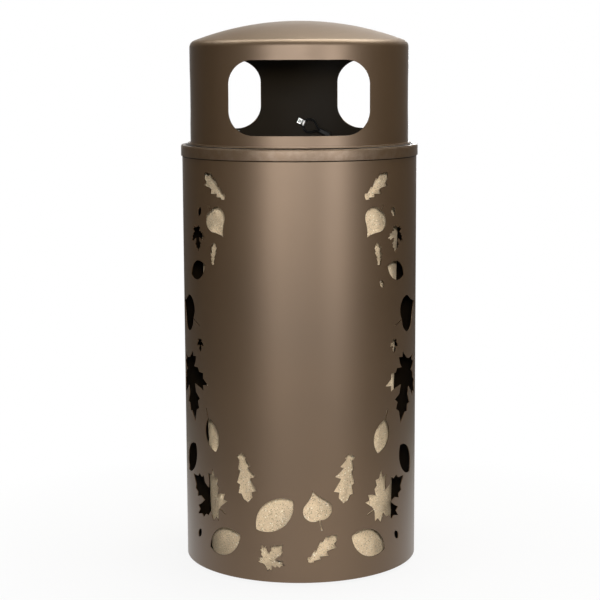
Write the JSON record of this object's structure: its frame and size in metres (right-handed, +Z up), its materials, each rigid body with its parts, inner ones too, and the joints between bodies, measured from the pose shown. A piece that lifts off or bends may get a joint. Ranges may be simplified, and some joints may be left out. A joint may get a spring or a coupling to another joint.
{
  "type": "trash can",
  "caption": "Round outdoor trash can: steel shell with leaf cut-outs, tapered lift-out liner, and a domed lid with round-cornered mouths, tied to the shell by a cable.",
  "frame": {"origin": "middle of the can's base, on the floor under its rubber feet", "axes": "+Z up along the can's axis; -Y is the front, the side that the front mouth of the lid faces"},
  "size_m": [0.4749, 0.475, 1.087],
  "materials": {
    "bronze_paint": "satin powder coat, dark bronze",
    "pan_paint": "matt black powder coat",
    "liner_plastic": "matt moulded plastic with a sandstone speckle",
    "foot_rubber": "matt black rubber",
    "zinc_steel": "bright zinc plate",
    "cable_jacket": "black vinyl jacket on a steel rope",
    "ferrule_metal": "crimped aluminium with a black coat"
  },
  "bodies": {
    "can": {"outer_shell": "bronze_paint", "top_band": "bronze_paint", "base_pan": "pan_paint", "rubber_feet": "foot_rubber", "foot_screws": "zinc_steel", "foot_washers": "zinc_steel", "foot_nuts": "zinc_steel", "shell_cable_clip": "zinc_steel", "shell_clip_rivet": "zinc_steel", "shell_tether_loop": "cable_jacket", "shell_tether_ferrule": "ferrule_metal", "tether_cable": "cable_jacket"},
    "lid": {"lid_dome": "bronze_paint", "lid_wall": "bronze_paint", "lid_ledge": "bronze_paint", "lid_spigot_ring": "bronze_paint", "lid_cable_clip": "zinc_steel", "lid_clip_rivet": "zinc_steel", "lid_tether_loop": "cable_jacket", "lid_tether_ferrule": "ferrule_metal"},
    "liner": {"liner": "liner_plastic"}
  },
  "joints": [
    {"name": "lid_lift", "type": "slide", "parent": "can", "child": "lid", "axis": [0, 0, 1], "range_m": [0, 0.25], "deforming": ["tether_cable"]},
    {"name": "liner_lift", "type": "slide", "parent": "can", "child": "liner", "axis": [0, 0, 1], "range_m": [0, 0.2]}
  ]
}
